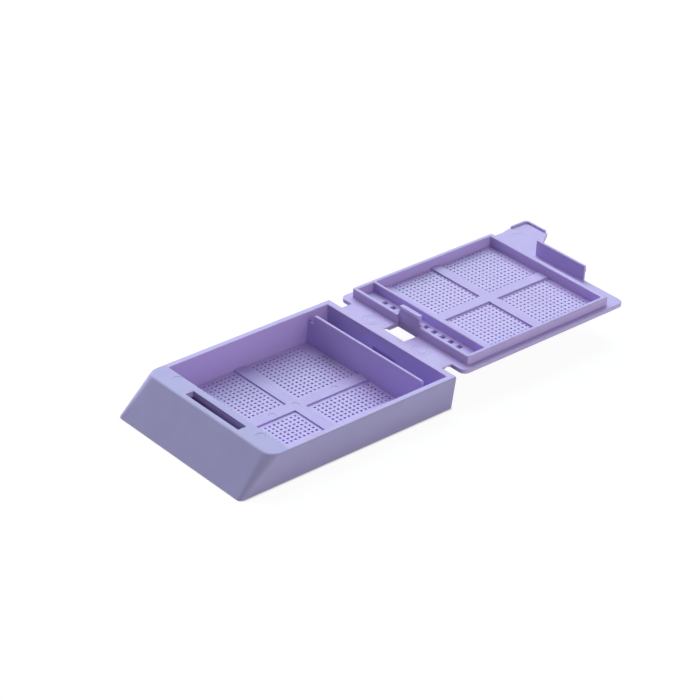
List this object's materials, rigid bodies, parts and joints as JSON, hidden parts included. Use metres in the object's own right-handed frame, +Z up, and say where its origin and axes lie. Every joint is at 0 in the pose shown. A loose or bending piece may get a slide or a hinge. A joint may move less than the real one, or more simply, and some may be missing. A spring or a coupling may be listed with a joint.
{
  "type": "tissue cassette",
  "caption": "Moulded histology cassette: shallow tray with slanted writing face and perforated floor, and a perforated lid on a film hinge with hook and tongue latches.",
  "frame": {"origin": "underside of the tray, where the two bars of its floor cross", "axes": "+X from the slanted writing face towards the hinge and the opened lid, +Y across the tray towards the lid's finger tab, +Z up"},
  "size_m": [0.0826, 0.0286, 0.0086],
  "materials": {
    "acetal": "satin"
  },
  "bodies": {
    "tray": {"tray": "acetal", "hinge_film": "acetal"},
    "lid": {"lid": "acetal"}
  },
  "joints": [
    {"name": "lid_fold", "type": "hinge", "parent": "tray", "child": "lid", "pos_m": [0.01939, 0, 0.00552], "axis": [0, -1, 0], "range_deg": [0, 180], "deforming": ["hinge_film"]}
  ]
}
